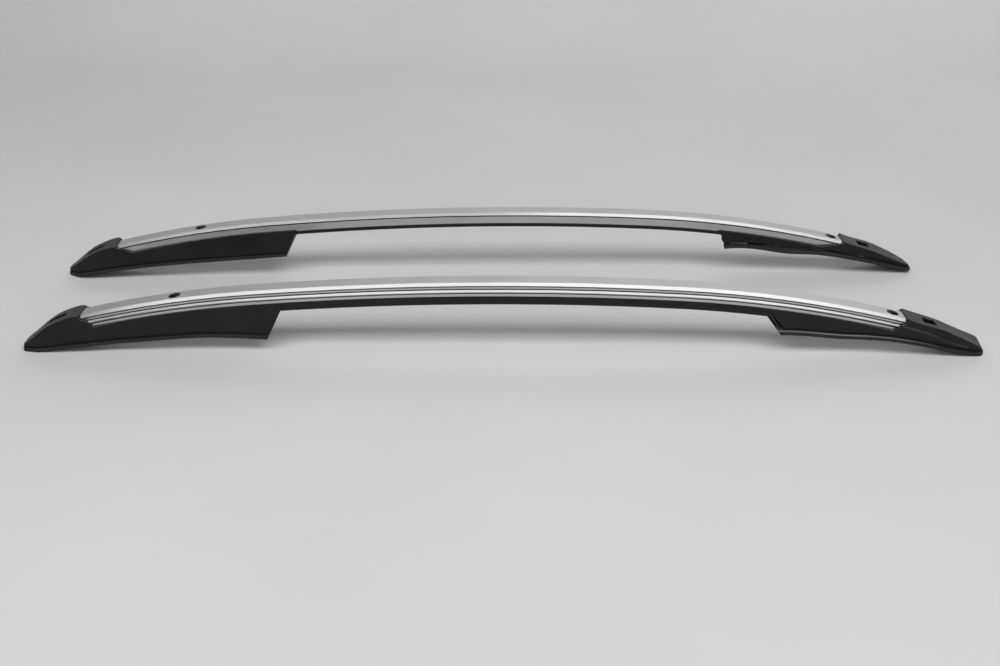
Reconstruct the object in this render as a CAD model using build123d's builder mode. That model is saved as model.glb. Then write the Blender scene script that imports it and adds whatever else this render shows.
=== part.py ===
"""A pair of roof side rails: bent aluminium bars on moulded feet, laid side by side."""

import os
from math import asin, cos, degrees, radians, sin, sqrt, tan
from typing import NamedTuple

from build123d import *

# Lay of the pair in millimetres and degrees: X runs along the rails, Y away from the viewer, Z up
RAIL_LENGTH = 1900.0
PAIR_SPACING = 398.0
PAIR_TOE = 0.8
PAIR_STAGGER = 25.0

# Arch of the bar's top: a long crown arc runs into a tighter arc at each end
CROWN_X = 23.0
CROWN_RADIUS = 6500.0
CROWN_REAR = 520.0
CROWN_FRONT = 330.0
REAR_RADIUS = 2200.0
FRONT_RADIUS = 2300.0
REAR_END_HEIGHT = 72.0

# Bar section: flat top, chamfered shoulders, grooved outboard face, plain inboard face
BAR_WIDTH = 45.0
BAR_TOP_WIDTH = 34.0
SHOULDER = 5.2
GROOVE_DEPTH = 2.0
GROOVE_UPPER = 2.2
LEDGE_SLOPE = 1.2
LEDGE_INSET = 0.7
LEDGE = 2.7
GROOVE_MIDDLE = 2.2
BAND = 6.5
BAND_BULGE = 2.0
BAND_CREST = 3.8
GROOVE_LOWER = 1.7
LIP = 5.1
LIP_WIDTH = 4.5
INBOARD_GROOVE = 3.0
INBOARD_FACE = 14.9
BAR_WALL = 2.6
ACCESS_HOLE = 24.0

# Fits between the pieces
SEAT_GAP = 0.15
SOCKET_GAP = 0.3
SLEEVE_GAP = 0.1
SCREW_GAP = 0.2

# Under moulding: a channel whose outboard wall hooks up behind the bar's lip
MOULDING_INSET = 0.4
MOULDING_WALL = 2.5
MOULDING_OUTBOARD = 18.4
MOULDING_INBOARD = 9.1
MOULDING_CHAMFER = 2.0

# Feet, both: half widths are those at the floor, and the walls draw in upwards by the draft
FOOT_OUTBOARD = 28.0
FOOT_INBOARD = 30.0
NOSE_OUTBOARD = 32.5
NOSE_INBOARD = 33.0
NOSE_RUN = 80.0
TIP_EDGE = 1.5
TIP_ROUND = 8.0
TIP_ROUND_LEAST = 2.0
DRAFT = 3.0
SIDE_PLANE = 35.0
FOOT_WALL = 3.0
FOOT_WEB = 3.2
COLLAR = 2.5
HOOD_OUTBOARD = 4.0
HOOD_INBOARD = 2.6
HOOD_EDGE = 0.8
HOOD_BACK = 3.0
SOCKET_DEPTH = 13.0
RIB = 2.5
RIB_LIFT = 2.0

# Rear foot, lengths from the nose tip: plan of the tip, rise of the ridges, lift of the base off the floor
REAR_LENGTH = 528.0
REAR_SKEW = -9.0
REAR_NOSE = 118.0
REAR_HOOD_RUN = 3.0
REAR_SLANTS = (0.5, 0.46)
REAR_TIP_OUTBOARD = ((0.0, 25.0), (30.0, 30.0), (59.0, 32.5))
REAR_TIP_INBOARD = ((4.0, 5.0), (27.0, 22.0), (60.0, 31.0))
REAR_RIDGE_OUTBOARD = ((0.30, 0.43), (0.50, 0.68), (0.67, 0.825), (0.84, 0.945))
REAR_RIDGE_INBOARD = ((0.22, 0.25), (0.43, 0.57), (0.645, 0.80), (0.84, 0.945))
REAR_BASE_OUTBOARD = (
    (0.06, 0.0), (0.14, 7.0), (0.30, 15.5), (0.48, 23.0), (0.68, 31.0), (0.80, 30.0), (1.0, 25.8),
)
REAR_BASE_INBOARD = (
    (0.06, 6.0), (0.14, 14.5), (0.30, 26.0), (0.48, 35.0), (0.68, 43.0), (0.80, 47.5), (1.0, 54.0),
)
REAR_SLOT_LENGTH = 40.0
REAR_SLOT_WIDTH = 16.0
REAR_SLOT_AT = 68.0
REAR_HOLE_AT = 307.0
REAR_SCREWS_AT = (362.0, 398.0)
REAR_RIBS_AT = (150.0, 200.0, 250.0)

# Front foot, in the same order, with the crease along the outboard side of its nose
FRONT_LENGTH = 430.0
FRONT_SKEW = 8.5
FRONT_NOSE = 158.0
FRONT_HOOD_RUN = 0.5
FRONT_SLANTS = (0.82, 0.5)
FRONT_TIP_OUTBOARD = ((2.0, 25.0), (40.0, 30.5), (78.0, 32.5))
FRONT_TIP_INBOARD = ((0.0, 25.0), (78.0, 31.5))
FRONT_RIDGE_OUTBOARD = ((0.21, 0.30), (0.36, 0.475), (0.52, 0.645), (0.74, 0.80))
FRONT_RIDGE_INBOARD = ((0.19, 0.19), (0.36, 0.38), (0.51, 0.56), (0.78, 0.815))
FRONT_BASE_OUTBOARD = (
    (0.03, 0.0), (0.20, 15.0), (0.38, 29.5), (0.52, 33.5), (0.67, 35.5), (0.78, 39.0), (1.0, 42.0),
)
FRONT_BASE_INBOARD = (
    (0.03, 8.0), (0.20, 26.0), (0.38, 41.5), (0.52, 49.5), (0.67, 53.0), (0.78, 61.0), (1.0, 65.0),
)
FRONT_SLOT_LENGTH = 27.0
FRONT_SLOT_WIDTH = 26.0
FRONT_SLOT_AT = 107.0
FRONT_HOLE_AT = 181.0
FRONT_SCREWS_AT = (290.0,)
FRONT_RIBS_AT = (150.0, 385.0)
CREASE = ((0.0, 8.0), (47.0, 22.5), (102.0, 45.0), (168.0, 64.0), (190.0, 69.0))
CREASE_INNER = 28.0
CREASE_LEDGE = 3.0

# Gasket: a flange on the roof and a recessed tongue that leaves a shadow gap under the foot; the gap opens
# under the front foot's inboard wall, and a return stands up behind the front foot's inner end
GASKET_FLANGE = 7.0
GASKET_TONGUE = 3.5
REAR_PROUD = 1.2
FRONT_PROUD = 3.2
GASKET_RECESS = 2.2
GASKET_WIDTH = 8.0
FRONT_GAP_INBOARD = (0.0, 2.5, 3.0, 5.5, 6.5, 5.0, 3.0)
FRONT_PAST = (17.0, 4.5)
RETURN_WALL = 3.5
RETURN_OUTBOARD = ((397.0, 44.0), (418.0, 76.0))
RETURN_INBOARD = ((424.5, 67.0), (435.5, 88.0))

# Roof bolts of eight millimetres pass through steel sleeves
SLEEVE_BORE = 9.0
SLEEVE_WALL = 3.0
SLEEVE_LENGTH = 24.0
BOSS_WALL = 3.0

# Steel brackets inside the feet
BRACKET_WIDTH = 26.0
BRACKET_PLATE = 3.5
BRACKET_LEG = 12.0
BRACKET_BOLT = 11.0
BRACKET_TAIL = 0.5
TAIL_MARGIN = 7.0
TAIL_ROOM = 3.0
REAR_HAT_FROM = 344.0
REAR_HAT_TO = 416.0
REAR_STRIP_FROM = 285.0
FRONT_STRIP_FROM = 166.0
FRONT_STRIP_TO = 308.0
FRONT_FOOT_PLATE = 60.0

# Screws: hex heads under the bars, one seen down the front access hole, a hex screw at the tail
SCREW_SHANK = 5.0
SCREW_HEAD = 10.0
SCREW_HEAD_HEIGHT = 3.5
ACCESS_SCREW_HEAD = 13.0
ACCESS_SCREW_HEIGHT = 5.0
HEX_ACROSS_FLATS = 10.0
HEX_HEIGHT = 4.5
HEX_SHANK = 6.0
HEX_LENGTH = 7.0

# Sizes that follow from those above
BAR_HALF = BAR_WIDTH / 2
TOP_HALF = BAR_TOP_WIDTH / 2
LEDGE_TOP = SHOULDER + GROOVE_UPPER + LEDGE_SLOPE
LEDGE_END = LEDGE_TOP + LEDGE
BAND_TOP = LEDGE_END + GROOVE_MIDDLE
BAND_END = BAND_TOP + BAND
LIP_TOP = BAND_END + GROOVE_LOWER
OUTBOARD_DEPTH = LIP_TOP + LIP
INBOARD_DEPTH = SHOULDER + INBOARD_GROOVE + INBOARD_FACE
FLOOR_DEPTH = INBOARD_DEPTH
LIFT = GASKET_FLANGE + GASKET_TONGUE
FLANGE_TOP = OUTBOARD_DEPTH + SEAT_GAP + FOOT_WEB + SEAT_GAP
FLANGE_LOW = FLANGE_TOP + BRACKET_PLATE
FLANGE_MIDDLE = (FLANGE_TOP + FLANGE_LOW) / 2
SLEEVE_RADIUS = SLEEVE_BORE / 2 + SLEEVE_WALL
FAR = 70.0
HIGH = 60.0
TALL = 400.0
BAR_REAR_X = REAR_NOSE - SOCKET_DEPTH - RAIL_LENGTH / 2
BAR_FRONT_X = RAIL_LENGTH / 2 - FRONT_NOSE + SOCKET_DEPTH


class Arc(NamedTuple):
    """One arc of the arch: centre and radius, and its first and last angle from upright."""

    x: float
    z: float
    radius: float
    start: float
    finish: float


class Side(NamedTuple):
    """One side of a foot, drawn on an upright plane of its own."""

    y: float
    length: float
    slant: float
    proud: float
    plan: tuple
    ridge: tuple
    base: tuple
    gap: tuple
    past: float
    lip: tuple


class Foot(NamedTuple):
    """One foot; every place along it is a distance from the nose tip."""

    way: int
    length: float
    nose: float
    hood_run: float
    outboard: Side
    inboard: Side
    slot: tuple
    ribs: tuple
    sleeves: tuple
    screws: tuple
    proud: float


# The hood's flanks beside the bar: how far each runs past the nose, and how far below the bar's top
REAR_LIP_OUTBOARD = (
    (-1.0, -3.0), (5.0, 6.5), (10.0, 9.5), (18.0, 12.5), (25.0, 22.0), (26.0, OUTBOARD_DEPTH),
)
REAR_LIP_INBOARD = ((-1.0, -3.0), (5.0, 2.5), (12.0, 5.5), (41.0, INBOARD_DEPTH))
FRONT_LIP_OUTBOARD = (
    (-3.0, -3.0), (0.0, 6.0), (5.0, 10.5), (13.0, 13.5), (18.0, 22.0), (23.0, OUTBOARD_DEPTH),
)
FRONT_LIP_INBOARD = ((-3.0, -3.0), (2.0, 2.5), (8.0, 5.5), (32.0, 14.5), (64.0, INBOARD_DEPTH))
NO_GAP = (0.0,) * len(FRONT_GAP_INBOARD)
REAR = Foot(
    way=1, length=REAR_LENGTH, nose=REAR_NOSE, hood_run=REAR_HOOD_RUN,
    outboard=Side(-SIDE_PLANE, REAR_LENGTH, REAR_SLANTS[0], HOOD_OUTBOARD, REAR_TIP_OUTBOARD,
                  REAR_RIDGE_OUTBOARD, REAR_BASE_OUTBOARD, NO_GAP, 0.0, REAR_LIP_OUTBOARD),
    inboard=Side(SIDE_PLANE, REAR_LENGTH + REAR_SKEW, REAR_SLANTS[1], HOOD_INBOARD, REAR_TIP_INBOARD,
                 REAR_RIDGE_INBOARD, REAR_BASE_INBOARD, NO_GAP, 0.0, REAR_LIP_INBOARD),
    slot=(REAR_SLOT_AT, REAR_SLOT_LENGTH, REAR_SLOT_WIDTH), ribs=REAR_RIBS_AT,
    sleeves=(REAR_SLOT_AT, REAR_HOLE_AT), screws=REAR_SCREWS_AT, proud=REAR_PROUD,
)
FRONT = Foot(
    way=-1, length=FRONT_LENGTH, nose=FRONT_NOSE, hood_run=FRONT_HOOD_RUN,
    outboard=Side(-SIDE_PLANE, FRONT_LENGTH, FRONT_SLANTS[0], HOOD_OUTBOARD, FRONT_TIP_OUTBOARD,
                  FRONT_RIDGE_OUTBOARD, FRONT_BASE_OUTBOARD, NO_GAP, FRONT_PAST[0], FRONT_LIP_OUTBOARD),
    inboard=Side(SIDE_PLANE, FRONT_LENGTH + FRONT_SKEW, FRONT_SLANTS[1], HOOD_INBOARD, FRONT_TIP_INBOARD,
                 FRONT_RIDGE_INBOARD, FRONT_BASE_INBOARD, FRONT_GAP_INBOARD, FRONT_PAST[1],
                 FRONT_LIP_INBOARD),
    slot=(FRONT_SLOT_AT, FRONT_SLOT_LENGTH, FRONT_SLOT_WIDTH), ribs=FRONT_RIBS_AT,
    sleeves=(FRONT_SLOT_AT,), screws=FRONT_SCREWS_AT + (FRONT_HOLE_AT,), proud=FRONT_PROUD,
)


def along(foot: Foot, distance: float) -> float:
    """X of a place on a foot."""
    return foot.way * (distance - RAIL_LENGTH / 2)


def arch_arcs() -> list[Arc]:
    """The rear, crown and front arcs, each tangent to the next."""
    rear = -asin(CROWN_REAR / CROWN_RADIUS)
    front = asin(CROWN_FRONT / CROWN_RADIUS)
    crown = Arc(CROWN_X, -CROWN_RADIUS, CROWN_RADIUS, rear, front)
    ends = []
    for angle, radius, end_x in ((rear, REAR_RADIUS, BAR_REAR_X), (front, FRONT_RADIUS, BAR_FRONT_X)):
        x = crown.x + (crown.radius - radius) * sin(angle)
        z = crown.z + (crown.radius - radius) * cos(angle)
        ends.append(Arc(x, z, radius, angle, asin((end_x - x) / radius)))
    first = Arc(ends[0].x, ends[0].z, REAR_RADIUS, ends[0].finish, ends[0].start)
    lift = REAR_END_HEIGHT - first.z - first.radius * cos(first.start)
    return [arc._replace(z=arc.z + lift) for arc in (first, crown, ends[1])]


ARCS = arch_arcs()


def arc_at(x: float) -> Arc:
    """The arc of the arch over a place."""
    rear, crown, front = ARCS
    if x < crown.x + crown.radius * sin(crown.start):
        return rear
    if x > crown.x + crown.radius * sin(crown.finish):
        return front
    return crown


def bar_top(x: float) -> float:
    """Height of the bar's top over a place."""
    arc = arc_at(x)
    return arc.z + sqrt(arc.radius**2 - (x - arc.x) ** 2)


def bar_plane(x: float) -> Plane:
    """Plane across the bar at a place: its x is Y, its y points out of the bar's top."""
    arc = arc_at(x)
    turn = asin((x - arc.x) / arc.radius)
    return Plane(origin=(x, 0, bar_top(x)), x_dir=(0, 1, 0), z_dir=(cos(turn), 0, -sin(turn)))


def screw_plane(x: float, depth: float) -> Plane:
    """Plane square to the bar's depth at a place, facing up out of the bar's top."""
    across = bar_plane(x)
    return Plane(origin=across.origin - across.y_dir * depth, x_dir=across.z_dir, z_dir=across.y_dir)


def follow_arch(section, x_from: float, x_to: float, mode: Mode = Mode.ADD) -> None:
    """Turns a section about the centre of each arc between two places.

    Args:
        section: function that draws the section on a plane across the bar.
        x_from: rear place.
        x_to: front place.
        mode: how the body joins the part being built.
    """
    for arc in ARCS:
        reach = radians(30)
        start = arc.start if arc is not ARCS[0] else -reach
        finish = arc.finish if arc is not ARCS[2] else reach
        start = max(start, asin(max(-1, min(1, (x_from - arc.x) / arc.radius))))
        finish = min(finish, asin(max(-1, min(1, (x_to - arc.x) / arc.radius))))
        if finish > start:
            place = Vector(arc.x + arc.radius * sin(start), 0, arc.z + arc.radius * cos(start))
            plane = Plane(origin=place, x_dir=(0, 1, 0), z_dir=(cos(start), 0, -sin(start)))
            centre = Axis((arc.x, 0, arc.z), (0, 1, 0))
            revolve(section(plane), axis=centre, revolution_arc=degrees(finish - start), mode=mode)


def bar_section(plane: Plane) -> Sketch:
    """Hollow section of the bar: outboard is the side of negative Y."""
    root = BAR_HALF - GROOVE_DEPTH
    ledge = BAR_HALF - LEDGE_INSET
    with BuildSketch(plane) as section:
        with BuildLine():
            Polyline(
                (-BAR_HALF, -BAND_TOP), (-root, -BAND_TOP), (-root, -LEDGE_END), (-ledge, -LEDGE_END),
                (-ledge, -LEDGE_TOP), (-root, -LEDGE_TOP + LEDGE_SLOPE), (-root, -SHOULDER),
                (-BAR_HALF, -SHOULDER), (-TOP_HALF, 0), (TOP_HALF, 0), (BAR_HALF, -SHOULDER),
                (root, -SHOULDER), (root, -SHOULDER - INBOARD_GROOVE), (BAR_HALF, -SHOULDER - INBOARD_GROOVE),
                (BAR_HALF, -INBOARD_DEPTH), (LIP_WIDTH - BAR_HALF, -FLOOR_DEPTH),
                (LIP_WIDTH - BAR_HALF, -OUTBOARD_DEPTH), (-BAR_HALF, -OUTBOARD_DEPTH), (-BAR_HALF, -LIP_TOP),
                (-root, -LIP_TOP), (-root, -BAND_END), (-BAR_HALF, -BAND_END),
                (-BAR_HALF - BAND_BULGE, -BAND_TOP - BAND_CREST), close=True,
            )
        make_face()
        inner = root - BAR_WALL
        with BuildLine():
            Polyline((-TOP_HALF + BAR_WALL, -BAR_WALL), (TOP_HALF - BAR_WALL, -BAR_WALL),
                     (inner, -SHOULDER - BAR_WALL), (inner, -FLOOR_DEPTH + BAR_WALL),
                     (-inner, -FLOOR_DEPTH + BAR_WALL), (-inner, -SHOULDER - BAR_WALL), close=True)
        make_face(mode=Mode.SUBTRACT)
    return section.sketch


def moulding_section(plane: Plane) -> Sketch:
    """Channel under the bar, open to the bar's floor."""
    side = BAR_HALF - MOULDING_INSET
    inner = side - MOULDING_WALL
    hook = BAR_HALF - LIP_WIDTH - SEAT_GAP
    deep = OUTBOARD_DEPTH + MOULDING_OUTBOARD
    shallow = INBOARD_DEPTH + MOULDING_INBOARD
    seat = FLOOR_DEPTH + SEAT_GAP
    with BuildSketch(plane) as section:
        with BuildLine():
            Polyline(
                (-side, -OUTBOARD_DEPTH - SEAT_GAP), (-hook, -OUTBOARD_DEPTH - SEAT_GAP), (-hook, -seat),
                (-hook + MOULDING_WALL, -seat), (-hook + MOULDING_WALL, -deep + 2 * MOULDING_WALL),
                (inner, -shallow + MOULDING_WALL), (inner, -seat), (side, -seat),
                (side, -shallow + MOULDING_CHAMFER), (side - MOULDING_CHAMFER, -shallow),
                (-side + MOULDING_CHAMFER, -deep), (-side, -deep + MOULDING_CHAMFER), close=True,
            )
        make_face()
    return section.sketch


def over_bar_section(plane: Plane) -> Sketch:
    """Everything beside and above the bar down to its lower edges, with the collar left standing inboard."""
    collar = BAR_HALF + SOCKET_GAP
    lip = LIP_WIDTH - BAR_HALF + SEAT_GAP
    low = OUTBOARD_DEPTH + SEAT_GAP
    seat = FLOOR_DEPTH + SEAT_GAP
    with BuildSketch(plane) as section:
        with BuildLine():
            Polyline(
                (-FAR, -low), (lip, -low), (lip, -seat), (collar, -seat), (collar, -INBOARD_DEPTH + COLLAR),
                (FAR, -INBOARD_DEPTH + COLLAR), (FAR, HIGH), (-FAR, HIGH), close=True,
            )
        make_face()
    return section.sketch


def socket_section(plane: Plane) -> Sketch:
    """The bar's envelope with the play of its socket."""
    side = BAR_HALF + BAND_BULGE + SOCKET_GAP
    lip = LIP_WIDTH - BAR_HALF + SEAT_GAP
    low = OUTBOARD_DEPTH + SEAT_GAP
    seat = FLOOR_DEPTH + SEAT_GAP
    with BuildSketch(plane) as section:
        with BuildLine():
            Polyline(
                (-side, -low), (lip, -low), (lip, -seat), (side, -seat), (side, -SHOULDER),
                (TOP_HALF, SOCKET_GAP), (-TOP_HALF, SOCKET_GAP), (-side, -SHOULDER), close=True,
            )
        make_face()
    return section.sketch


def web_section(plane: Plane) -> Sketch:
    """Everything above the underside of the web that carries the bar."""
    low = OUTBOARD_DEPTH + SEAT_GAP + FOOT_WEB
    with BuildSketch(plane) as section:
        with BuildLine():
            Polyline((-FAR, -low), (FAR, -low), (FAR, HIGH), (-FAR, HIGH), close=True)
        make_face()
    return section.sketch


def bar_edge(x: float) -> float:
    """Height of the bar's outboard lower edge over a place."""
    return bar_top(x) - OUTBOARD_DEPTH


def end_at(foot: Foot, side: Side, z: float, inset: float = 0.0) -> float:
    """Distance from the tip to the slanted inner end of one side at a height."""
    return side.length - inset - side.slant * (bar_edge(along(foot, foot.length)) - z)


def end_middle(foot: Foot, z: float) -> float:
    """Distance from the tip to the inner end half way between the sides."""
    return (end_at(foot, foot.outboard, z) + end_at(foot, foot.inboard, z)) / 2


def base_points(foot: Foot, side: Side, lifts: list, inset: float) -> list:
    """The curved part of a base line, from where the tip's flat ends to the slanted inner end.

    Args:
        foot: the foot.
        side: its side.
        lifts: height of the line over the roof at each point of the side's base.
        inset: how far the line stops short of the inner end.
    """
    points = []
    for (share, height), lift in zip(side.base, lifts):
        points.append((along(foot, share * foot.length), height + lift))
    last = points[-1][1]
    points[-1] = (along(foot, end_at(foot, side, last, inset)), last)
    return points


def base_height(foot: Foot, distance: float, inboard_share: float = 0.5) -> float:
    """Height of the roof under a foot at a distance from the tip, between its outboard and inboard lines."""
    before = None
    for outboard, inboard in zip(foot.outboard.base, foot.inboard.base):
        height = outboard[1] * (1 - inboard_share) + inboard[1] * inboard_share
        after = (outboard[0] * foot.length, height)
        if distance <= after[0]:
            if before is None:
                return height
            share = (distance - before[0]) / (after[0] - before[0])
            return before[1] + share * (after[1] - before[1])
        before = after
    return before[1]


def sleeve_top(foot: Foot, distance: float) -> float:
    """Height of the top of a roof bolt's sleeve."""
    return base_height(foot, distance) + SLEEVE_LENGTH


def side_face(foot: Foot, side: Side, inset: float) -> Sketch:
    """Side view of a foot on one side plane, drawn in by a wall where it is the hollow."""
    lifts = [LIFT + gap if inset == 0 else -HIGH for gap in side.gap]
    first = along(foot, 3 * inset)
    low = side.base[0][1] + lifts[0]
    tip = side.base[0][1] + LIFT + TIP_EDGE - inset
    peak = along(foot, foot.nose - HOOD_BACK)
    hood = bar_top(peak) + side.proud - inset
    ridge = [(first, tip)]
    for share, rise in side.ridge:
        ridge.append((along(foot, share * foot.nose), tip + rise * (hood - tip)))
    ridge.append((peak, hood))
    edge = along(foot, foot.nose + foot.hood_run)
    lip = (edge, bar_top(edge) + HOOD_EDGE - inset)
    top = bar_top(along(foot, foot.length)) + HOOD_OUTBOARD
    back = (along(foot, end_at(foot, side, top, inset)), top)
    base = base_points(foot, side, lifts, inset)
    with BuildSketch(Plane.XZ.offset(-side.y)) as face:
        with BuildLine():
            Line((first, low), ridge[0])
            if inset == 0:
                Spline(ridge)
                Spline(base[::-1])
            else:
                Polyline(ridge)
                Polyline(base[::-1])
            Line(ridge[-1], lip)
            Line(lip, back)
            Line(back, base[-1])
            Line(base[0], (first, low))
        make_face()
    return face.sketch


def band_face(foot: Foot, side: Side, low: float, high: float) -> Sketch:
    """Side view of a layer of even height that follows the roof under a foot."""
    under = base_points(foot, side, [low] * len(side.base), -side.past)
    over = base_points(foot, side, [high] * len(side.base), -side.past)
    tip = along(foot, -FAR)
    with BuildSketch(Plane.XZ.offset(-side.y)) as face:
        with BuildLine():
            Line((tip, under[0][1]), under[0])
            Spline(under)
            Line(under[-1], over[-1])
            Spline(over[::-1])
            Line(over[0], (tip, over[0][1]))
            Line((tip, over[0][1]), (tip, under[0][1]))
        make_face()
    return face.sketch


def plan_face(foot: Foot, grow: float, outboard_end: float, inboard_end: float) -> Sketch:
    """Plan of a foot at the floor, grown or shrunk by an even margin."""
    flare = foot.nose + NOSE_RUN
    points = [(outboard_end, -FOOT_OUTBOARD), (flare, -FOOT_OUTBOARD), (foot.nose, -NOSE_OUTBOARD)]
    points += [(s, -y) for s, y in foot.outboard.plan[::-1]]
    points += foot.inboard.plan
    points += [(foot.nose, NOSE_INBOARD), (flare, FOOT_INBOARD), (inboard_end, FOOT_INBOARD)]
    with BuildSketch(Plane.XY) as plan:
        with BuildLine():
            Polyline([(along(foot, s), y) for s, y in points], close=True)
        make_face()
        if grow != 0:
            offset(amount=grow, kind=Kind.INTERSECTION, mode=Mode.REPLACE)
        tips = plan.vertices().sort_by(Axis.X, reverse=foot.way < 0)[:2]
        fillet(tips, radius=max(TIP_ROUND_LEAST, TIP_ROUND + grow))
    return plan.sketch


def draw_up(foot: Foot, grow: float, ends: tuple, z: float, height: float, mode: Mode) -> None:
    """Raises the plan of a foot, true to size at the floor, with the draft of its walls.

    Args:
        foot: the foot.
        grow: margin round the plan at the floor.
        ends: how far the plan runs along the outboard and the inboard wall.
        z: level that the body starts from.
        height: height of the body.
        mode: how the body joins the part being built.
    """
    low = plan_face(foot, grow - z * tan(radians(DRAFT)), ends[0], ends[1])
    high = plan_face(foot, grow - (z + height) * tan(radians(DRAFT)), ends[0], ends[1])
    loft([low.moved(Location((0, 0, z))), high.moved(Location((0, 0, z + height)))], ruled=True, mode=mode)


def cylinder(plane: Plane, radius: float, height: float, mode: Mode = Mode.ADD) -> None:
    """A round bar standing on a plane."""
    with BuildSketch(plane) as round_face:
        Circle(radius)
    extrude(round_face.sketch, amount=height, dir=plane.z_dir, mode=mode)


def upright(foot: Foot, distance: float, z: float) -> Plane:
    """Level plane over the middle of a foot."""
    return Plane.XY.move(Location((along(foot, distance), 0, z)))


def over_bar(foot: Foot) -> Part:
    """Space over a foot that the bar and the air beside it take, up to the hood's lip and stepped flanks."""
    nose = foot.nose
    crown = ((foot.hood_run, -HIGH), (foot.hood_run, OUTBOARD_DEPTH))
    zones = (
        (-FAR, -BAR_HALF, foot.outboard.lip), (-BAR_HALF, BAR_HALF, crown), (BAR_HALF, FAR, foot.inboard.lip),
    )
    with BuildPart() as space:
        ends = sorted((along(foot, 0.0), along(foot, foot.length + FAR)))
        follow_arch(over_bar_section, ends[0], ends[1])
        for y_from, y_to, edge in zones:
            lip = [(nose + edge[0][0], -2 * HIGH)]
            lip += [(nose + run, drop) for run, drop in edge]
            lip += [(nose + edge[-1][0], 2 * HIGH), (-FAR, 2 * HIGH), (-FAR, -2 * HIGH)]
            outline = [(along(foot, s), bar_top(along(foot, max(0.0, s))) - drop) for s, drop in lip]
            with BuildSketch(Plane.XZ.offset(-y_from)) as hood:
                with BuildLine():
                    Polyline(outline, close=True)
                make_face()
            extrude(hood.sketch, amount=y_to - y_from, dir=(0, 1, 0), mode=Mode.SUBTRACT)
    return space.part


def block(foot: Foot, run: tuple, width: float, levels: tuple, mode: Mode = Mode.ADD) -> None:
    """A level block across the middle of a foot.

    Args:
        foot: the foot.
        run: distances from the tip where it starts and ends.
        width: size across the foot.
        levels: heights of its underside and top.
        mode: how the block joins the part being built.
    """
    with BuildSketch(Plane.XY.offset(levels[0])) as outline:
        with Locations((along(foot, (run[0] + run[1]) / 2), 0)):
            Rectangle(run[1] - run[0], width)
    extrude(outline.sketch, amount=levels[1] - levels[0], dir=(0, 0, 1), mode=mode)


def foot_hollow(foot: Foot) -> Part:
    """Space inside a foot between its walls, web, ribs and sleeve bosses."""
    reach = foot.length + FAR
    ends = sorted((along(foot, foot.nose - SOCKET_DEPTH - SOCKET_GAP - FOOT_WALL), along(foot, reach)))
    with BuildPart() as hollow:
        loft([side_face(foot, side, FOOT_WALL) for side in (foot.outboard, foot.inboard)], ruled=True)
        draw_up(foot, -FOOT_WALL, (reach, reach), -HIGH, 3 * HIGH, Mode.INTERSECT)
        follow_arch(web_section, ends[0], ends[1], Mode.SUBTRACT)
        for place in foot.ribs + foot.sleeves:
            low = base_height(foot, place, 1.0) + LIFT + RIB_LIFT
            high = sleeve_top(foot, place) - SEAT_GAP if place in foot.sleeves else TALL
            block(foot, (place - RIB / 2, place + RIB / 2), 2 * FAR, (low, high), Mode.SUBTRACT)
        for place in foot.sleeves:
            low = base_height(foot, place) + GASKET_FLANGE
            boss = SLEEVE_RADIUS + SLEEVE_GAP + BOSS_WALL
            cylinder(upright(foot, place, low), boss, sleeve_top(foot, place) - SEAT_GAP - low, Mode.SUBTRACT)
    return hollow.part


def make_foot(foot: Foot) -> Part:
    """One foot: hooded nose with its slot and socket, walls drawn up to the bar, web, ribs and bosses."""
    reach = foot.length + FAR
    slot_at, slot_length, slot_width = foot.slot
    socket = sorted((along(foot, foot.nose - SOCKET_DEPTH - SOCKET_GAP), along(foot, foot.nose + FAR)))
    with BuildPart() as body:
        loft([side_face(foot, side, 0.0) for side in (foot.outboard, foot.inboard)], ruled=True)
        draw_up(foot, 0.0, (reach, reach), 0.0, 2 * HIGH, Mode.INTERSECT)
        add(over_bar(foot), mode=Mode.SUBTRACT)
        add(foot_hollow(foot), mode=Mode.SUBTRACT)
        follow_arch(socket_section, socket[0], socket[1], Mode.SUBTRACT)
        slot = (slot_at - slot_length / 2, slot_at + slot_length / 2)
        block(foot, slot, slot_width, (sleeve_top(foot, slot_at), TALL), Mode.SUBTRACT)
        for place in foot.sleeves:
            hole = SLEEVE_RADIUS + SLEEVE_GAP
            cylinder(upright(foot, place, -HIGH), hole, HIGH + sleeve_top(foot, place), Mode.SUBTRACT)
        for place in foot.screws:
            plane = screw_plane(along(foot, place), FLANGE_LOW)
            cylinder(plane, SCREW_SHANK / 2 + SCREW_GAP, FLANGE_LOW, Mode.SUBTRACT)
    return body.part


def make_gasket(foot: Foot) -> Part:
    """Rubber ring under a foot: flange on the roof, tongue drawn in under the foot's wall."""
    reach = foot.length + FAR
    sides = (foot.outboard, foot.inboard)
    ends = [end_at(foot, side, side.base[-1][1], -side.past) for side in sides]
    layers = []
    for low, high, grow in ((0.0, GASKET_FLANGE, foot.proud), (GASKET_FLANGE, LIFT, -GASKET_RECESS)):
        with BuildPart() as layer:
            loft([band_face(foot, side, low, high) for side in sides], ruled=True)
            draw_up(foot, grow, (reach, reach), -SEAT_GAP, 2 * HIGH, Mode.INTERSECT)
            draw_up(foot, -GASKET_WIDTH, ends, -SEAT_GAP, 2 * HIGH, Mode.SUBTRACT)
        layers.append(layer.part)
    with BuildPart() as ring:
        add(layers[0])
        add(layers[1])
    return ring.part


def flange_section(plane: Plane) -> Sketch:
    """Bracket plate that lies under a foot's web."""
    with BuildSketch(plane) as section:
        with Locations((0, -FLANGE_MIDDLE)):
            Rectangle(BRACKET_WIDTH, BRACKET_PLATE)
    return section.sketch


def flange_place(foot: Foot, distance: float) -> float:
    """X on the bar's top whose depth line meets the bracket plate at a distance from the tip."""
    arc = arc_at(along(foot, distance))
    return arc.x + (along(foot, distance) - arc.x) * arc.radius / (arc.radius - FLANGE_MIDDLE)


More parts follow.
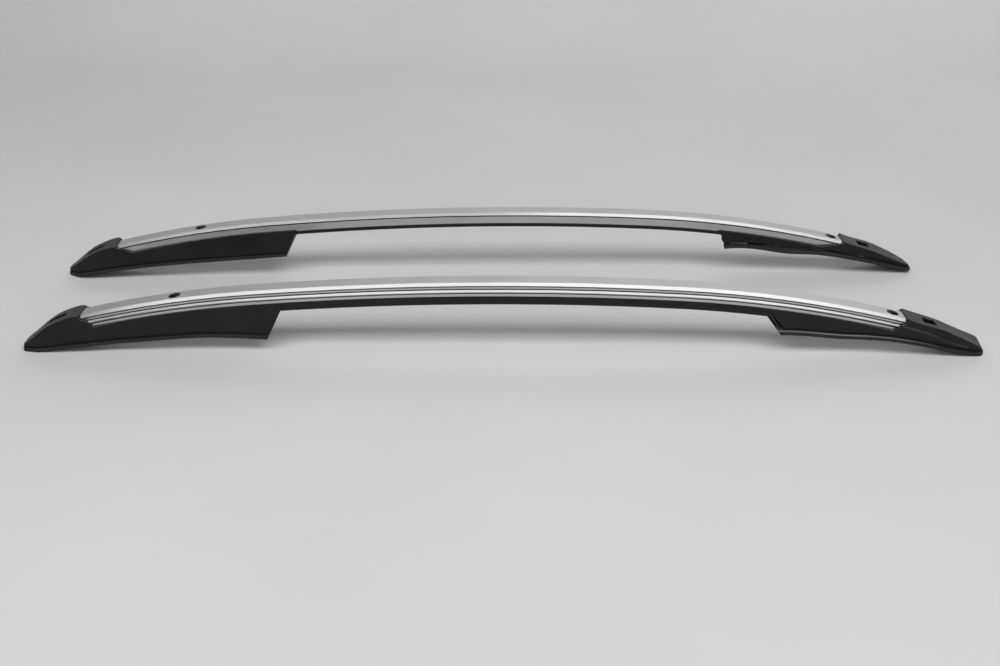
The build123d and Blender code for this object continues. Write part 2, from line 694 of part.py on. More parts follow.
def flange_level(foot: Foot, distance: float) -> float:
    """Height of the middle of the bracket plate under the web."""
    arc = arc_at(along(foot, distance))
    return arc.z + sqrt((arc.radius - FLANGE_MIDDLE) ** 2 - (along(foot, distance) - arc.x) ** 2)


# Bar: hollow extrusion with an access hole near each end and the screw holes of its feet
REAR_HOLE_X = along(REAR, REAR_HOLE_AT)
FRONT_HOLE_X = along(FRONT, FRONT_HOLE_AT)
SCREW_XS = [along(REAR, place) for place in REAR_SCREWS_AT]
SCREW_XS += [along(FRONT, place) for place in FRONT_SCREWS_AT]
with BuildPart() as rail_bar:
    follow_arch(bar_section, BAR_REAR_X, BAR_FRONT_X)
    cylinder(Plane.XY.move(Location((REAR_HOLE_X, 0, 0))), ACCESS_HOLE / 2, TALL, Mode.SUBTRACT)
    cylinder(screw_plane(FRONT_HOLE_X, FLOOR_DEPTH - 2 * BAR_WALL), ACCESS_HOLE / 2, HIGH, Mode.SUBTRACT)
    cylinder(screw_plane(FRONT_HOLE_X, HIGH), SCREW_SHANK / 2 + SCREW_GAP, HIGH, Mode.SUBTRACT)
    for screw_x in SCREW_XS:
        floor_hole = screw_plane(screw_x, FLANGE_LOW)
        hole_depth = FLANGE_LOW - FLOOR_DEPTH + 2 * BAR_WALL
        cylinder(floor_hole, SCREW_SHANK / 2 + SCREW_GAP, hole_depth, Mode.SUBTRACT)

# Moulding between the feet, its ends cut along their slanted inner ends
with BuildPart() as under_moulding:
    follow_arch(moulding_section, along(REAR, REAR_LENGTH - FAR), along(FRONT, FRONT_LENGTH - FAR))
    for foot in (REAR, FRONT):
        end_views = []
        for side in (foot.outboard, foot.inboard):
            with BuildSketch(Plane.XZ.offset(-side.y)) as end_view:
                with BuildLine():
                    Polyline((along(foot, end_at(foot, side, 0.0, -SEAT_GAP)), 0),
                             (along(foot, end_at(foot, side, TALL, -SEAT_GAP)), TALL),
                             (along(foot, 0.0), TALL), (along(foot, 0.0), 0), close=True)
                make_face()
            end_views.append(end_view.sketch)
        loft(end_views, ruled=True, mode=Mode.SUBTRACT)

# Rear foot, with the way up to its second bolt and the window that the bracket's tail looks out of
STRIP_LOW = sleeve_top(REAR, REAR_HOLE_AT)
STRIP_TOP = STRIP_LOW + BRACKET_PLATE
TAIL_END = end_middle(REAR, STRIP_TOP) + BRACKET_TAIL
TAIL_SCREW_AT = TAIL_END - TAIL_MARGIN
with BuildPart() as rear_foot:
    add(make_foot(REAR))
    cylinder(upright(REAR, REAR_HOLE_AT, STRIP_LOW), ACCESS_HOLE / 2, TALL, Mode.SUBTRACT)
    window_run = (REAR_HAT_TO, TAIL_END + FAR)
    window_levels = (STRIP_TOP - HEX_LENGTH - SOCKET_GAP, STRIP_TOP + HEX_HEIGHT + TAIL_ROOM)
    block(REAR, window_run, BRACKET_WIDTH + 2 * SOCKET_GAP, window_levels, Mode.SUBTRACT)

# Front foot, its nose set back above the crease
with BuildPart() as front_foot:
    add(make_foot(FRONT))
    crease_views = []
    for depth, rise in ((CREASE_INNER, CREASE_LEDGE / 2), (CREASE_INNER + CREASE_LEDGE, -CREASE_LEDGE / 2)):
        above = [(along(FRONT, CREASE[-1][0]), TALL), (along(FRONT, CREASE[0][0]), TALL)]
        with BuildSketch(Plane.XZ.offset(depth)) as crease_view:
            with BuildLine():
                Polyline([(along(FRONT, s), z + rise) for s, z in CREASE] + above, close=True)
            make_face()
        crease_views.append(crease_view.sketch)
    loft(crease_views, ruled=True, mode=Mode.SUBTRACT)
    extrude(crease_views[1], amount=FAR, dir=(0, -1, 0), mode=Mode.SUBTRACT)

# Gaskets
with BuildPart() as rear_gasket:
    add(make_gasket(REAR))
with BuildPart() as front_return:
    return_views = []
    for side, edge in ((FRONT.outboard, RETURN_OUTBOARD), (FRONT.inboard, RETURN_INBOARD)):
        back_edge = [(s - RETURN_WALL, z) for s, z in edge[::-1]]
        with BuildSketch(Plane.XZ.offset(-side.y)) as return_view:
            with BuildLine():
                Polyline([(along(FRONT, s), z) for s, z in list(edge) + back_edge], close=True)
            make_face()
        return_views.append(return_view.sketch)
    loft(return_views, ruled=True)
    draw_up(FRONT, -GASKET_RECESS, (FRONT_LENGTH + FAR, FRONT_LENGTH + FAR), 0.0, 2 * HIGH, Mode.INTERSECT)
with BuildPart() as front_gasket:
    add(make_gasket(FRONT))
    add(front_return.part)

# Rear bracket: a hat screwed up under the bar, its brim on the bolt sleeve and out at the inner end
with BuildPart() as rear_bracket:
    follow_arch(flange_section, flange_place(REAR, REAR_HAT_FROM), flange_place(REAR, REAR_HAT_TO))
    block(REAR, (REAR_HAT_FROM, REAR_HAT_FROM + BRACKET_PLATE), BRACKET_WIDTH,
          (STRIP_LOW, flange_level(REAR, REAR_HAT_FROM)))
    block(REAR, (REAR_HAT_TO - BRACKET_PLATE, REAR_HAT_TO), BRACKET_WIDTH,
          (STRIP_LOW, flange_level(REAR, REAR_HAT_TO)))
    block(REAR, (REAR_STRIP_FROM, REAR_HAT_FROM + BRACKET_PLATE), BRACKET_WIDTH, (STRIP_LOW, STRIP_TOP))
    block(REAR, (REAR_HAT_TO - BRACKET_PLATE, TAIL_END), BRACKET_WIDTH, (STRIP_LOW, STRIP_TOP))
    cylinder(upright(REAR, REAR_HOLE_AT, 0.0), BRACKET_BOLT / 2, TALL, Mode.SUBTRACT)
    cylinder(upright(REAR, TAIL_SCREW_AT, 0.0), HEX_SHANK / 2 + SCREW_GAP, TALL, Mode.SUBTRACT)
    for place in REAR_SCREWS_AT:
        cylinder(screw_plane(along(REAR, place), HIGH), SCREW_SHANK / 2 + SCREW_GAP, HIGH, Mode.SUBTRACT)

# Front bracket: a plate under the bar's end, stepped down to a foot plate
FRONT_PLATE_LOW = flange_level(FRONT, FRONT_STRIP_TO) - BRACKET_LEG
with BuildPart() as front_bracket:
    follow_arch(flange_section, flange_place(FRONT, FRONT_STRIP_TO), flange_place(FRONT, FRONT_STRIP_FROM))
    block(FRONT, (FRONT_STRIP_TO - BRACKET_PLATE, FRONT_STRIP_TO), BRACKET_WIDTH,
          (FRONT_PLATE_LOW, flange_level(FRONT, FRONT_STRIP_TO)))
    block(FRONT, (FRONT_STRIP_TO - BRACKET_PLATE, FRONT_STRIP_TO + FRONT_FOOT_PLATE), BRACKET_WIDTH,
          (FRONT_PLATE_LOW, FRONT_PLATE_LOW + BRACKET_PLATE))
    for place in FRONT_SCREWS_AT + (FRONT_HOLE_AT,):
        cylinder(screw_plane(along(FRONT, place), HIGH), SCREW_SHANK / 2 + SCREW_GAP, HIGH, Mode.SUBTRACT)

# Sleeves that the roof bolts pass through
with BuildPart() as bolt_sleeves:
    for foot in (REAR, FRONT):
        for place in foot.sleeves:
            stand = upright(foot, place, base_height(foot, place))
            with BuildSketch(stand) as tube:
                Circle(SLEEVE_RADIUS)
                Circle(SLEEVE_BORE / 2, mode=Mode.SUBTRACT)
            extrude(tube.sketch, amount=SLEEVE_LENGTH, dir=(0, 0, 1))

# Hex screws that hold the brackets and feet up to the bar
with BuildPart() as foot_screws:
    for screw_x in SCREW_XS:
        head_top = FLANGE_LOW + SEAT_GAP
        with BuildSketch(screw_plane(screw_x, head_top)) as screw_head:
            RegularPolygon(SCREW_HEAD / 2, 6, major_radius=False)
        extrude(screw_head.sketch, amount=SCREW_HEAD_HEIGHT, dir=-screw_plane(screw_x, 0.0).z_dir)
        cylinder(screw_plane(screw_x, head_top), SCREW_SHANK / 2, head_top - FLOOR_DEPTH + 2 * BAR_WALL)

# Screw on the bar's floor, seen down the front access hole
with BuildPart() as access_screw:
    seat = screw_plane(FRONT_HOLE_X, FLOOR_DEPTH - BAR_WALL)
    cylinder(seat, ACCESS_SCREW_HEAD / 2, ACCESS_SCREW_HEIGHT)
    shank_end = FLANGE_LOW + SCREW_HEAD_HEIGHT
    cylinder(screw_plane(FRONT_HOLE_X, shank_end), SCREW_SHANK / 2, shank_end - FLOOR_DEPTH + BAR_WALL)
    with BuildSketch(seat.offset(ACCESS_SCREW_HEIGHT)) as key:
        RegularPolygon(SCREW_SHANK / 2, 6)
    extrude(key.sketch, amount=ACCESS_SCREW_HEIGHT / 2, dir=-seat.z_dir, mode=Mode.SUBTRACT)

# Hex screw through the bracket's tail
with BuildPart() as tail_screw:
    with BuildSketch(upright(REAR, TAIL_SCREW_AT, STRIP_TOP)) as hex_head:
        RegularPolygon(HEX_ACROSS_FLATS / 2, 6, major_radius=False)
    extrude(hex_head.sketch, amount=HEX_HEIGHT, dir=(0, 0, 1))
    cylinder(upright(REAR, TAIL_SCREW_AT, STRIP_TOP - HEX_LENGTH), HEX_SHANK / 2, HEX_LENGTH)

# The right rail is laid nearer the viewer; the left rail is its mirror image, and both stand on the floor
PIECES = {
    "rail_bar": rail_bar, "under_moulding": under_moulding, "rear_foot": rear_foot, "front_foot": front_foot,
    "rear_gasket": rear_gasket, "front_gasket": front_gasket, "rear_bracket": rear_bracket,
    "front_bracket": front_bracket, "bolt_sleeves": bolt_sleeves, "foot_screws": foot_screws,
    "access_screw": access_screw, "tail_screw": tail_screw,
}
FLOOR = min(gasket.part.bounding_box().min.Z for gasket in (rear_gasket, front_gasket))
RIGHT_LAY = Location((PAIR_STAGGER / 2, -PAIR_SPACING / 2, -FLOOR), (0, 0, -PAIR_TOE))
LEFT_LAY = Location((-PAIR_STAGGER / 2, PAIR_SPACING / 2, -FLOOR), (0, 0, PAIR_TOE))
os.makedirs("parts", exist_ok=True)
for name, piece in PIECES.items():
    right = piece.part.moved(RIGHT_LAY)
    right.label = f"right_{name}"
    export_step(right, f"parts/right_{name}.step")
    left = mirror(piece.part, about=Plane.XZ).moved(LEFT_LAY)
    left.label = f"left_{name}"
    export_step(left, f"parts/left_{name}.step")
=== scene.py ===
"""Looks of a pair of roof side rails, dressed over their solids and set in a plain studio."""

import logging
import math
from dataclasses import dataclass, field
from enum import Enum
from typing import Any

import bpy
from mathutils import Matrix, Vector

LOG = logging.getLogger("roof_side_rails")
MM = 0.001
OPENNESS_SAMPLES = 12

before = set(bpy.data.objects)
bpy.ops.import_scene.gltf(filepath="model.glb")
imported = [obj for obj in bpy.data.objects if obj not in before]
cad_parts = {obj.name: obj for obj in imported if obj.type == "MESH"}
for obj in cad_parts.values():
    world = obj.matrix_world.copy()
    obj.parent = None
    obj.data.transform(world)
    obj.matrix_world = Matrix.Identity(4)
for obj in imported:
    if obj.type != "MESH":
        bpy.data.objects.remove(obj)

Colour = tuple[float, float, float, float]
Point = tuple[float, float, float]
Span = tuple[float, float]
Socket = bpy.types.NodeSocket
Tree = bpy.types.NodeTree


class Side(Enum):
    """The two rails of the pair."""

    RIGHT = "right"
    LEFT = "left"


def linear(hex_colour: str) -> Colour:
    """Turns an sRGB hex colour into linear values.

    Args:
        hex_colour: six hex digits, with or without a leading mark.

    Returns:
        Linear red, green and blue, and an alpha of one.
    """
    digits = hex_colour.lstrip("#")
    parts = [int(digits[i:i + 2], 16) / 255 for i in (0, 2, 4)]
    lit = [c / 12.92 if c <= 0.04045 else ((c + 0.055) / 1.055) ** 2.4 for c in parts]
    return lit[0], lit[1], lit[2], 1.0


def per_metre(size_mm: float) -> float:
    """Texture scale whose features are about a size in millimetres."""
    return 1.0 / (size_mm * MM)


def fit(tree: Tree, node: bpy.types.Node, settings: dict[str | int, Any],
        links: dict[str | int, Socket]) -> None:
    """Sets a node's values and joins its inputs.

    Args:
        tree: node tree that the node is in.
        node: the node.
        settings: property names, or input names or numbers, with their values.
        links: input names or numbers with the output sockets that feed them.
    """
    for name, value in settings.items():
        if isinstance(name, str) and hasattr(node, name):
            setattr(node, name, value)
        else:
            node.inputs[name].default_value = value
    for name, socket in links.items():
        tree.links.new(socket, node.inputs[name])


def add_node(tree: Tree, kind: str, settings: dict[str | int, Any] | None = None,
             links: dict[str | int, Socket] | None = None) -> bpy.types.Node:
    """Adds a node, sets its values and joins its inputs.

    Args:
        tree: node tree that the node goes into.
        kind: type name of the node.
        settings: property names, or input names or numbers, with their values.
        links: input names or numbers with the output sockets that feed them.

    Returns:
        The new node.
    """
    node = tree.nodes.new(kind)
    fit(tree, node, settings or {}, links or {})
    return node


def new_material(name: str) -> tuple[bpy.types.Material, Tree, bpy.types.Node]:
    """Starts a material with a bare shader.

    Args:
        name: name of the material.

    Returns:
        The material, its node tree and its shader node.
    """
    material = bpy.data.materials.new(name)
    material.use_nodes = True
    tree = material.node_tree
    return material, tree, tree.nodes["Principled BSDF"]


def noise(tree: Tree, place: Socket, size_mm: float, layers: float) -> Socket:
    """Soft clouds of a size.

    Args:
        tree: node tree of the material.
        place: object coordinates.
        size_mm: size of the clouds in millimetres.
        layers: number of finer layers.

    Returns:
        The clouds' level.
    """
    settings = {"Scale": per_metre(size_mm), "Detail": layers}
    return add_node(tree, "ShaderNodeTexNoise", settings, {"Vector": place}).outputs["Fac"]


def spread(tree: Tree, value: Socket, span: Span, onto: Span = (0.0, 1.0)) -> Socket:
    """Maps a span of values on to another span.

    Args:
        tree: node tree of the material.
        value: the value to map.
        span: the values that the two ends come from.
        onto: the values that the two ends go to.

    Returns:
        The mapped value.
    """
    settings = {"From Min": span[0], "From Max": span[1], "To Min": onto[0], "To Max": onto[1]}
    return add_node(tree, "ShaderNodeMapRange", settings, {"Value": value}).outputs["Result"]


def multiply(tree: Tree, first: Socket, second: Socket) -> Socket:
    """Product of two values."""
    return add_node(tree, "ShaderNodeMath", {"operation": "MULTIPLY"}, {0: first, 1: second}).outputs["Value"]


def two_tone(tree: Tree, level: Socket, colours: tuple[str, str], span: Span) -> Socket:
    """Runs from a dark to a light colour as a level rises.

    Args:
        tree: node tree of the material.
        level: the level.
        colours: the dark and the light colour.
        span: levels at which the two colours are reached.

    Returns:
        The colour.
    """
    ramp = add_node(tree, "ShaderNodeValToRGB", None, {"Fac": level})
    for end, colour, position in zip(ramp.color_ramp.elements, colours, span):
        end.position = position
        end.color = linear(colour)
    return ramp.outputs["Color"]


def blend(tree: Tree, share: Socket, base: Socket, colour: str) -> Socket:
    """Lays a colour over a base.

    Args:
        tree: node tree of the material.
        share: how much of the colour shows.
        base: the colour underneath.
        colour: the colour that is laid over it.

    Returns:
        The blended colour.
    """
    settings = {"data_type": "RGBA", "B": linear(colour)}
    return add_node(tree, "ShaderNodeMix", settings, {"Factor": share, "A": base}).outputs["Result"]


def rounded_edge(tree: Tree, radius_mm: float) -> Socket:
    """Normal of a surface whose sharp edges are rounded to a radius."""
    return add_node(tree, "ShaderNodeBevel", {"Radius": radius_mm * MM}).outputs["Normal"]


def openness(tree: Tree, reach_mm: float, own_only: bool = False) -> Socket:
    """Share of the space around a point that is open.

    Args:
        tree: node tree of the material.
        reach_mm: how far around the point counts, in millimetres.
        own_only: whether only the piece itself closes the space.

    Returns:
        The share, which is one where nothing is near.
    """
    settings = {"samples": OPENNESS_SAMPLES, "only_local": own_only, "Distance": reach_mm * MM}
    return add_node(tree, "ShaderNodeAmbientOcclusion", settings).outputs["AO"]


@dataclass(frozen=True)
class SatinAluminium:
    """Extruded aluminium, linished lengthwise and clear anodised.

    It is pale and satin. The lines smear each glint across the section, and painted shade darkens the
    grooves.
    """

    dark: str = "#c0c0c0"
    light: str = "#cecdcd"
    rough: Span = (0.27, 0.32)
    # The real lines are finer than a pixel, so they are drawn coarse enough to show
    line_width_mm: float = 1.6
    line_length_mm: float = 420.0
    line_rise_mm: float = 40.0
    line_depth_mm: float = 0.004
    line_strength: float = 0.03
    line_layers: float = 3.0
    line_harshness: float = 0.6
    cloud_mm: float = 160.0
    cloud_layers: float = 3.0
    cloud_share: float = 0.45
    level_span: Span = (0.3, 0.7)
    edge_mm: float = 0.4
    smear: float = 0.6
    # Painted shade: the colour laid in the grooves, where little space around is open
    groove_shade: str = "#4c4b49"
    groove_shade_reach_mm: float = 4.0
    groove_shade_span: Span = (0.97, 0.72)

    def material(self) -> bpy.types.Material:
        """Builds the finish.

        Returns:
            The material.
        """
        made, tree, shader = new_material("anodised_aluminium_linished")
        place = add_node(tree, "ShaderNodeTexCoord").outputs["Object"]
        lines = self.lines(tree, place)
        cloud = noise(tree, place, self.cloud_mm, self.cloud_layers)
        level = add_node(tree, "ShaderNodeMix", {"data_type": "FLOAT", "Factor": self.cloud_share},
                         {"A": lines, "B": cloud}).outputs["Result"]
        tint = two_tone(tree, level, (self.dark, self.light), self.level_span)
        relief = add_node(tree, "ShaderNodeBump",
                          {"Strength": self.line_strength, "Distance": self.line_depth_mm * MM},
                          {"Height": lines, "Normal": rounded_edge(tree, self.edge_mm)}).outputs["Normal"]
        fit(tree, shader, {"Metallic": 1.0, "Anisotropic": self.smear}, {
            # Painted shade darkens the grooves
            "Base Color": blend(tree, self.groove_shaded(tree), tint, self.groove_shade),
            "Roughness": spread(tree, level, self.level_span, self.rough),
            "Normal": relief,
            "Tangent": self.across(tree),
        })
        return made

    def lines(self, tree: Tree, place: Socket) -> Socket:
        """Fine lines along the bar.

        Args:
            tree: node tree of the material.
            place: object coordinates.

        Returns:
            The lines' level.
        """
        sizes = (self.line_length_mm, self.line_width_mm, self.line_rise_mm)
        scale = tuple(per_metre(size) for size in sizes)
        run = add_node(tree, "ShaderNodeMapping", {"Scale": scale}, {"Vector": place}).outputs["Vector"]
        settings = {"Scale": 1.0, "Detail": self.line_layers, "Roughness": self.line_harshness}
        return add_node(tree, "ShaderNodeTexNoise", settings, {"Vector": run}).outputs["Fac"]

    def groove_shaded(self, tree: Tree) -> Socket:
        """Share of painted shade, which darkens where a groove closes the surface in."""
        return spread(tree, openness(tree, self.groove_shade_reach_mm, own_only=True), self.groove_shade_span)

    def across(self, tree: Tree) -> Socket:
        """Direction across the lines, in the surface.

        Args:
            tree: node tree of the material.

        Returns:
            The direction.
        """
        flat = add_node(tree, "ShaderNodeNewGeometry").outputs["Normal"]
        settings = {"operation": "CROSS_PRODUCT", 1: (1.0, 0.0, 0.0)}
        return add_node(tree, "ShaderNodeVectorMath", settings, {0: flat}).outputs["Vector"]


@dataclass(frozen=True)
class GrainedPolymer:
    """Moulded black polymer with an eroded grain: near black and half matt.

    Its upper edges are rubbed paler and carry a painted highlight, dust and painted top light lift what faces
    up to a warmer grey, and painted shade turns crevices quite black.
    """

    name: str
    dark: str
    light: str
    # Paler colour of the rubbed upper edges, which also paints a highlight along them
    wear_and_highlight: str
    rough: Span
    # The real grain is finer than a pixel, so it is drawn coarse enough to show
    grain_mm: float
    grain_depth_mm: float
    specular: float
    edge_mm: float
    wear_and_highlight_mm: float
    dust_and_top_light_share: float
    # Pale colour of dust, which also paints light on what faces up
    dust_and_top_light: str = "#96928d"
    dust_and_top_light_end_mm: float = 2000.0
    cloud_mm: float = 70.0
    cloud_layers: float = 4.0
    # Near black painted shade laid in joints and crevices
    crevice_shade: str = "#040404"
    crevice_shade_mm: float = 7.0
    grain_strength: float = 0.5
    tint_span: Span = (0.35, 0.7)
    gloss_span: Span = (0.3, 0.7)
    rub_and_highlight_span: Span = (0.998, 0.96)
    lean_span: Span = (0.1, 0.5)
    upward_span: Span = (0.75, 0.98)
    crevice_shade_span: Span = (0.9, 0.5)

    def material(self) -> bpy.types.Material:
        """Builds the finish.

        Returns:
            The material.
        """
        made, tree, shader = new_material(self.name)
        place = add_node(tree, "ShaderNodeTexCoord").outputs["Object"]
        flat = add_node(tree, "ShaderNodeNewGeometry").outputs["Normal"]
        cloud = noise(tree, place, self.cloud_mm, self.cloud_layers)
        colour = two_tone(tree, cloud, (self.dark, self.light), self.tint_span)
        # Rubbing, with a painted highlight, along the edges that lean upwards
        colour = blend(tree, self.rubbed_and_highlit(tree, flat, cloud), colour, self.wear_and_highlight)
        # Dust, with painted light, on what faces up
        colour = blend(tree, self.settled_and_top_lit(tree, place, flat, cloud), colour, self.dust_and_top_light)
        # Painted shade in joints and crevices
        colour = blend(tree, self.shaded_crevices(tree), colour, self.crevice_shade)
        fit(tree, shader, {"Specular IOR Level": self.specular}, {
            "Base Color": colour,
            "Roughness": spread(tree, cloud, self.gloss_span, self.rough),
            "Normal": self.relief(tree, place),
        })
        return made

    def rubbed_and_highlit(self, tree: Tree, flat: Socket, cloud: Socket) -> Socket:
        """Share of rubbing and painted highlight, in patches along the edges that lean upwards.

        Args:
            tree: node tree of the material.
            flat: normal of the surface itself.
            cloud: level of the patches.

        Returns:
            The share.
        """
        near_edge = rounded_edge(tree, self.wear_and_highlight_mm)
        turned = add_node(tree, "ShaderNodeVectorMath", {"operation": "DOT_PRODUCT"},
                          {0: near_edge, 1: flat}).outputs["Value"]
        lean = add_node(tree, "ShaderNodeSeparateXYZ", None, {"Vector": near_edge}).outputs["Z"]
        rub_and_highlight = spread(tree, turned, self.rub_and_highlight_span)
        reached = multiply(tree, rub_and_highlight, spread(tree, lean, self.lean_span))
        return multiply(tree, reached, cloud)

    def settled_and_top_lit(self, tree: Tree, place: Socket, flat: Socket, cloud: Socket) -> Socket:
        """Share of dust and painted top light, in drifts on what faces up, which thin out towards the front
        end.

        Args:
            tree: node tree of the material.
            place: object coordinates.
            flat: normal of the surface itself.
            cloud: level of the drifts.

        Returns:
            The share.
        """
        up = add_node(tree, "ShaderNodeSeparateXYZ", None, {"Vector": flat}).outputs["Z"]
        along = add_node(tree, "ShaderNodeSeparateXYZ", None, {"Vector": place}).outputs["X"]
        fade_span = (self.dust_and_top_light_end_mm * MM, (self.dust_and_top_light_end_mm - self.cloud_mm) * MM)
        lying = spread(tree, up, self.upward_span, (0.0, self.dust_and_top_light_share))
        kept = multiply(tree, lying, spread(tree, along, fade_span))
        return multiply(tree, kept, cloud)

    def shaded_crevices(self, tree: Tree) -> Socket:
        """Share of painted shade in joints and crevices."""
        return spread(tree, openness(tree, self.crevice_shade_mm), self.crevice_shade_span)

    def relief(self, tree: Tree, place: Socket) -> Socket:
        """Normal of the grain over softly rounded edges.

        Args:
            tree: node tree of the material.
            place: object coordinates.

        Returns:
            The normal.
        """
        grain = add_node(tree, "ShaderNodeTexVoronoi", {"Scale": per_metre(self.grain_mm)},
                         {"Vector": place}).outputs["Distance"]
        return add_node(tree, "ShaderNodeBump",
                        {"Strength": self.grain_strength, "Distance": self.grain_depth_mm * MM},
                        {"Height": grain, "Normal": rounded_edge(tree, self.edge_mm)}).outputs["Normal"]


@dataclass(frozen=True)
class ZincPlate:
    """Pressed steel, zinc plated and passivated: grey metal with a soft spangle and duller patches."""

    dark: str = "#86878a"
    light: str = "#b3b4b3"
    rough: Span = (0.28, 0.5)
    spangle_mm: float = 6.0
    level_span: Span = (0.0, 1.0)

    def material(self) -> bpy.types.Material:
        """Builds the finish.

        Returns:
            The material.
        """
        made, tree, shader = new_material("zinc_plated_steel")
        place = add_node(tree, "ShaderNodeTexCoord").outputs["Object"]
        spangle = add_node(tree, "ShaderNodeTexVoronoi", {"Scale": per_metre(self.spangle_mm)},
                           {"Vector": place}).outputs["Color"]
        level = add_node(tree, "ShaderNodeRGBToBW", None, {"Color": spangle}).outputs["Val"]
        fit(tree, shader, {"Metallic": 1.0}, {
            "Base Color": two_tone(tree, level, (self.dark, self.light), self.level_span),
            "Roughness": spread(tree, level, self.level_span, self.rough),
        })
        return made


@dataclass(frozen=True)
class PaintedFloor:
    """Matt painted floor and backdrop: pale grey with a faint broad mottle."""

    dark: str = "#e6e5e4"
    light: str = "#ebeae9"
    mottle_mm: float = 900.0
    mottle_layers: float = 5.0
    tint_span: Span = (0.35, 0.65)
    rough: float = 0.75
    specular: float = 0.2

    def material(self) -> bpy.types.Material:
        """Builds the finish.

        Returns:
            The material.
        """
        made, tree, shader = new_material("matt_floor_paint")
        place = add_node(tree, "ShaderNodeTexCoord").outputs["Object"]
        mottle = noise(tree, place, self.mottle_mm, self.mottle_layers)
        tint = two_tone(tree, mottle, (self.dark, self.light), self.tint_span)
        settings = {"Roughness": self.rough, "Specular IOR Level": self.specular}
        fit(tree, shader, settings, {"Base Color": tint})
        return made


class Finish(Enum):
    """Finishes of the rails' pieces, by what each is made of."""

    ALUMINIUM = SatinAluminium()
    PLASTIC = GrainedPolymer(
        "moulded_polypropylene", dark="#101011", light="#171718", wear_and_highlight="#8f9092", rough=(0.36, 0.52),
        grain_mm=1.0, grain_depth_mm=0.05, specular=0.3, edge_mm=4.0, wear_and_highlight_mm=1.5, dust_and_top_light_share=0.14,
    )
    RUBBER = GrainedPolymer(
        "extruded_rubber", dark="#1b1b1c", light="#262627", wear_and_highlight="#444444", rough=(0.6, 0.8),
        grain_mm=0.8, grain_depth_mm=0.04, specular=0.4, edge_mm=1.0, wear_and_highlight_mm=1.0, dust_and_top_light_share=0.06,
    )
    # Its pale dust also paints the lit line along the top of the flange
    DUSTY_RUBBER = GrainedPolymer(
        "extruded_rubber_dust_and_top_light", dark="#1b1b1c", light="#262627", wear_and_highlight="#505050", rough=(0.6, 0.8),
        grain_mm=0.8, grain_depth_mm=0.04, specular=0.4, edge_mm=1.0, wear_and_highlight_mm=1.0, dust_and_top_light_share=1.0,
        dust_and_top_light="#bcb8b2", dust_and_top_light_end_mm=880.0,
    )
    STEEL = ZincPlate()


@dataclass
class Rail:
    """One rail: which pieces it has and the finish of each."""

    side: Side
    finishes: dict[str, Finish] = field(default_factory=lambda: {
        "rail_bar": Finish.ALUMINIUM,
        "under_moulding": Finish.PLASTIC,
        "rear_foot": Finish.PLASTIC,
        "front_foot": Finish.PLASTIC,
        "rear_gasket": Finish.RUBBER,
        "front_gasket": Finish.DUSTY_RUBBER,
        "rear_bracket": Finish.STEEL,
        "front_bracket": Finish.STEEL,
        "bolt_sleeves": Finish.STEEL,
        "foot_screws": Finish.STEEL,
        "access_screw": Finish.STEEL,
        "tail_screw": Finish.STEEL,
    })

    def dress(self, materials: dict[Finish, bpy.types.Material]) -> None:
        """Gives each solid of the rail its finish.

        Args:
            materials: the built material of each finish.
        """
        for name, finish in self.finishes.items():
            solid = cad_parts[f"{self.side.value}_{name}"]
            solid.data.materials.clear()
            solid.data.materials.append(materials[finish])
            LOG.info("dressed %s in %s", solid.name, materials[finish].name)


@dataclass(frozen=True)
class Softbox:
    """One soft lamp: its place, the point that it faces, its width and height in metres, and its power.

    A lamp for glints only shows in reflections, and sheds no light on the floor.
    """

    name: str
    at: Point
    aim: Point
    size: Span
    watts: float
    glints_only: bool = False

    def hang(self) -> None:
        """Hangs the lamp in the scene."""
        data = bpy.data.lights.new(self.name, "AREA")
        data.shape = "RECTANGLE"
        data.size, data.size_y = self.size
        data.energy = self.watts
        lamp = bpy.data.objects.new(self.name, data)
        lamp.location = self.at
        lamp.rotation_euler = (Vector(self.aim) - Vector(self.at)).to_track_quat("-Z", "Y").to_euler()
        lamp.visible_diffuse = not self.glints_only
        bpy.context.scene.collection.objects.link(lamp)


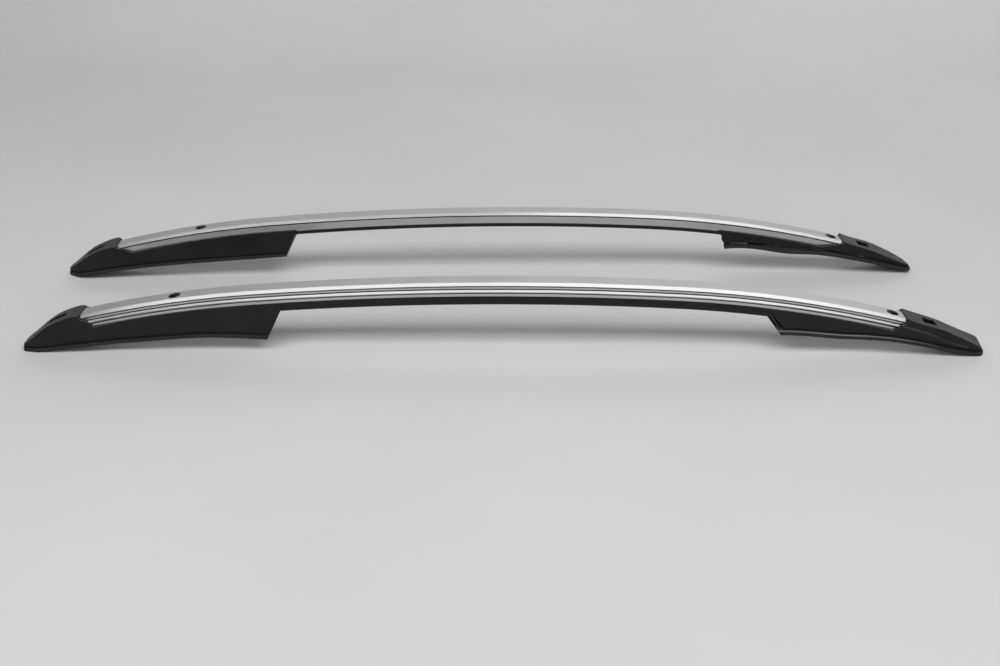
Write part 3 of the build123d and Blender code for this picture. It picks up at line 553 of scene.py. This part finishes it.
@dataclass
class Studio:
    """Pale floor that sweeps up into a backdrop, soft lamps, and the camera of the photograph.

    The key lamp hangs above and in front of the rails. A lower one in front and one behind show in the bars'
    faces, and a strip overhead gives the far bar its glint.
    """

    camera_at: Point = (0.0010, -2.5593, 1.1391)
    camera_pitch: float = 25.12
    camera_yaw: float = 0.206
    lens_mm: float = 47.23
    sensor_mm: float = 36.0
    view_reach: float = 100.0
    floor_front: float = -5.0
    floor_back: float = 3.0
    floor_half: float = 6.0
    backdrop_height: float = 4.0
    sweep: float = 1.0
    sweep_steps: int = 16
    world_colour: str = "#f4f5f6"
    world_strength: float = 0.07
    lamps: tuple[Softbox, ...] = (
        Softbox("key_softbox", (0.1, -3.38, 4.56), (0.1, 0.0, 0.1), (9.2, 2.6), 275.0),
        Softbox("front_softbox", (0.4, -5.4, 2.5), (0.0, 0.0, 0.1), (6.0, 1.6), 46.0),
        Softbox("overhead_strip", (1.2, -0.23, 1.5), (1.2, -0.22, 0.0), (2.1, 0.3), 3.6, glints_only=True),
        Softbox("back_softbox", (0.5, 2.8, 1.9), (0.0, 0.0, 0.1), (6.0, 1.8), 20.0),
    )

    def camera(self) -> None:
        """Places the camera of the photograph and makes it the scene's own."""
        data = bpy.data.cameras.new("photo_camera")
        data.lens = self.lens_mm
        data.sensor_width = self.sensor_mm
        data.clip_end = self.view_reach
        camera = bpy.data.objects.new("photo_camera", data)
        camera.location = self.camera_at
        camera.rotation_euler = (math.radians(90 - self.camera_pitch), 0.0, -math.radians(self.camera_yaw))
        bpy.context.scene.collection.objects.link(camera)
        bpy.context.scene.camera = camera

    def floor(self) -> None:
        """Lays the floor, draws its far edge up and rounds the corner into a sweep."""
        bpy.ops.object.select_all(action="DESELECT")
        middle = (self.floor_front + self.floor_back) / 2
        bpy.ops.mesh.primitive_plane_add(size=1.0, location=(0.0, middle, 0.0))
        floor = bpy.context.object
        floor.name = "studio_floor"
        floor.scale = (2 * self.floor_half, self.floor_back - self.floor_front, 1.0)
        bpy.ops.object.transform_apply(location=True, rotation=True, scale=True)
        bpy.ops.object.mode_set(mode="EDIT")
        bpy.ops.mesh.select_mode(type="EDGE")
        self.select_far_edge(floor)
        lift = (0.0, 0.0, self.backdrop_height)
        bpy.ops.mesh.extrude_region_move(TRANSFORM_OT_translate={"value": lift})
        self.select_far_edge(floor)
        bpy.ops.mesh.bevel(offset=self.sweep, segments=self.sweep_steps, affect="EDGES")
        bpy.ops.object.mode_set(mode="OBJECT")
        bpy.ops.object.shade_smooth()
        floor.data.materials.append(PaintedFloor().material())

    def select_far_edge(self, floor: bpy.types.Object) -> None:
        """Selects only the floor's edge along its far side, and stays in edit mode.

        Args:
            floor: the floor's object, in edit mode.
        """
        bpy.ops.mesh.select_all(action="DESELECT")
        bpy.ops.object.mode_set(mode="OBJECT")
        points = floor.data.vertices
        for edge in floor.data.edges:
            ends = [points[i].co for i in edge.vertices]
            edge.select = all(abs(p.y - self.floor_back) < MM and abs(p.z) < MM for p in ends)
        bpy.ops.object.mode_set(mode="EDIT")

    def light(self) -> None:
        """Fills the air with a faint even light and hangs the lamps."""
        world = bpy.data.worlds.new("studio_air")
        world.use_nodes = True
        bpy.context.scene.world = world
        sky = world.node_tree.nodes["Background"]
        sky.inputs["Color"].default_value = linear(self.world_colour)
        sky.inputs["Strength"].default_value = self.world_strength
        for lamp in self.lamps:
            lamp.hang()

    def build(self) -> None:
        """Sets up the floor, the lamps and the camera."""
        bpy.context.scene.view_settings.view_transform = "Standard"
        self.floor()
        self.light()
        self.camera()


def main() -> None:
    """Builds the studio and dresses both rails."""
    logging.basicConfig(level=logging.INFO)
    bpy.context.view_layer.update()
    Studio().build()
    materials = {finish: finish.value.material() for finish in Finish}
    for side in Side:
        Rail(side).dress(materials)


if __name__ == "__main__":
    main()
